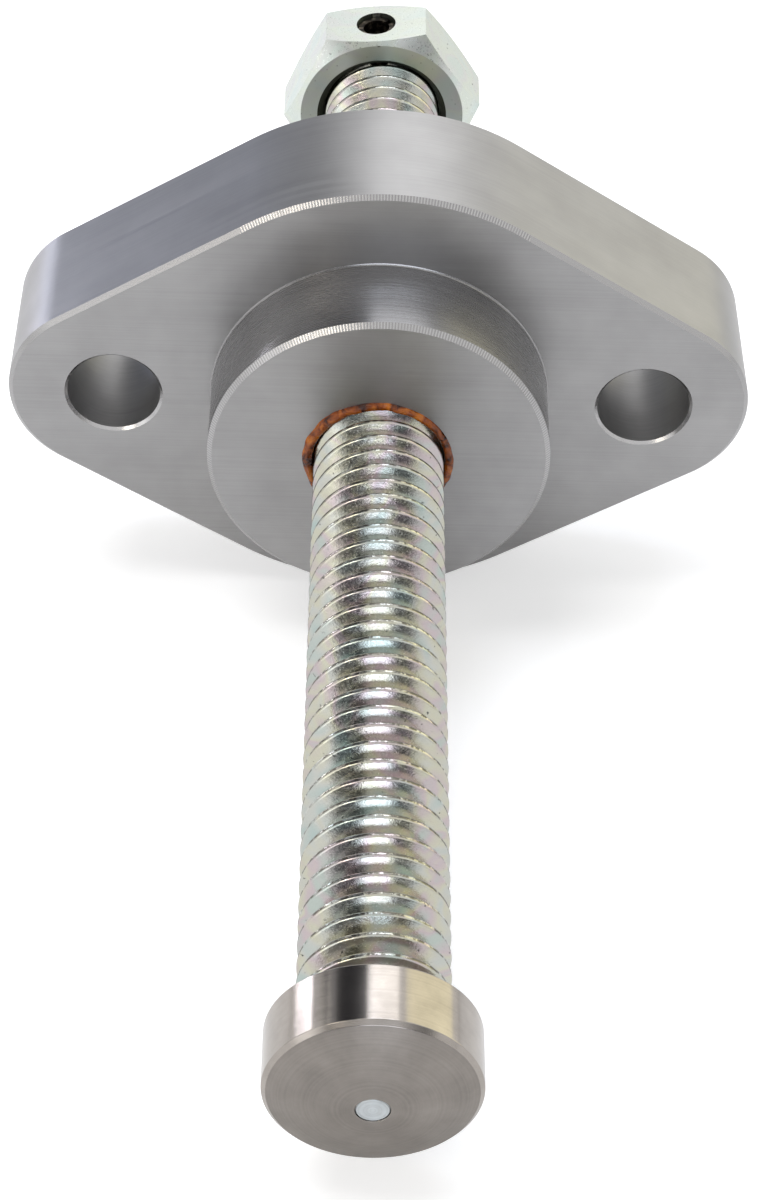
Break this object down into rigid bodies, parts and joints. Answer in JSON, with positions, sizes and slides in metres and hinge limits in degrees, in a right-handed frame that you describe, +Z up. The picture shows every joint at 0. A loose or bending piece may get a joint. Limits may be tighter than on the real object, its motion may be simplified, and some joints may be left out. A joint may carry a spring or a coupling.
{
  "type": "cam chain tensioner",
  "caption": "Manual cam chain tensioner: diamond-flanged aluminium housing with a threaded adjuster stud, swivel pad and lock nut.",
  "frame": {"origin": "on the stud's axis, in the plane of the flange's mounting face", "axes": "-Y along the stud towards the swivel pad and into the engine, +X through the mounting holes, +Z up as pictured"},
  "size_m": [0.0552, 0.1089, 0.0368],
  "materials": {
    "machined_aluminium": "milled satin",
    "plain_aluminium": "smooth",
    "zinc_steel": "bright zinc plate, passivated",
    "turned_steel": "turned",
    "black_steel": "black oxide",
    "sealant": "dried amber resin"
  },
  "bodies": {
    "housing_body": {"housing": "machined_aluminium", "thread_sealant": "sealant"},
    "pad": {"swivel_pad": "turned_steel"},
    "adjuster": {"adjuster_stud": "zinc_steel", "head_nut": "zinc_steel", "spring_pin": "black_steel"},
    "washer": {"sealing_washer": "plain_aluminium"},
    "locking_nut": {"lock_nut": "zinc_steel"}
  },
  "joints": [
    {"name": "pad_travel", "type": "slide", "parent": "housing_body", "child": "pad", "axis": [0, -1, 0], "range_m": [-0.0508, 0.0158]},
    {"name": "stud_turn", "type": "hinge", "parent": "pad", "child": "adjuster", "pos_m": [0, 0, 0], "axis": [0, -1, 0], "range_deg": [-11520, 3600]},
    {"name": "washer_travel", "type": "slide", "parent": "housing_body", "child": "washer", "axis": [0, 1, 0], "range_m": [0, 0.00317]},
    {"name": "lock_nut_turn", "type": "hinge", "parent": "washer", "child": "locking_nut", "pos_m": [0, 0, 0], "axis": [0, 1, 0], "range_deg": [0, 720]}
  ],
  "couplings": [
    {"joint": "stud_turn", "follows": "pad_travel", "rad_per_m": 3957.9},
    {"joint": "lock_nut_turn", "follows": "washer_travel", "rad_per_m": 3957.9}
  ]
}
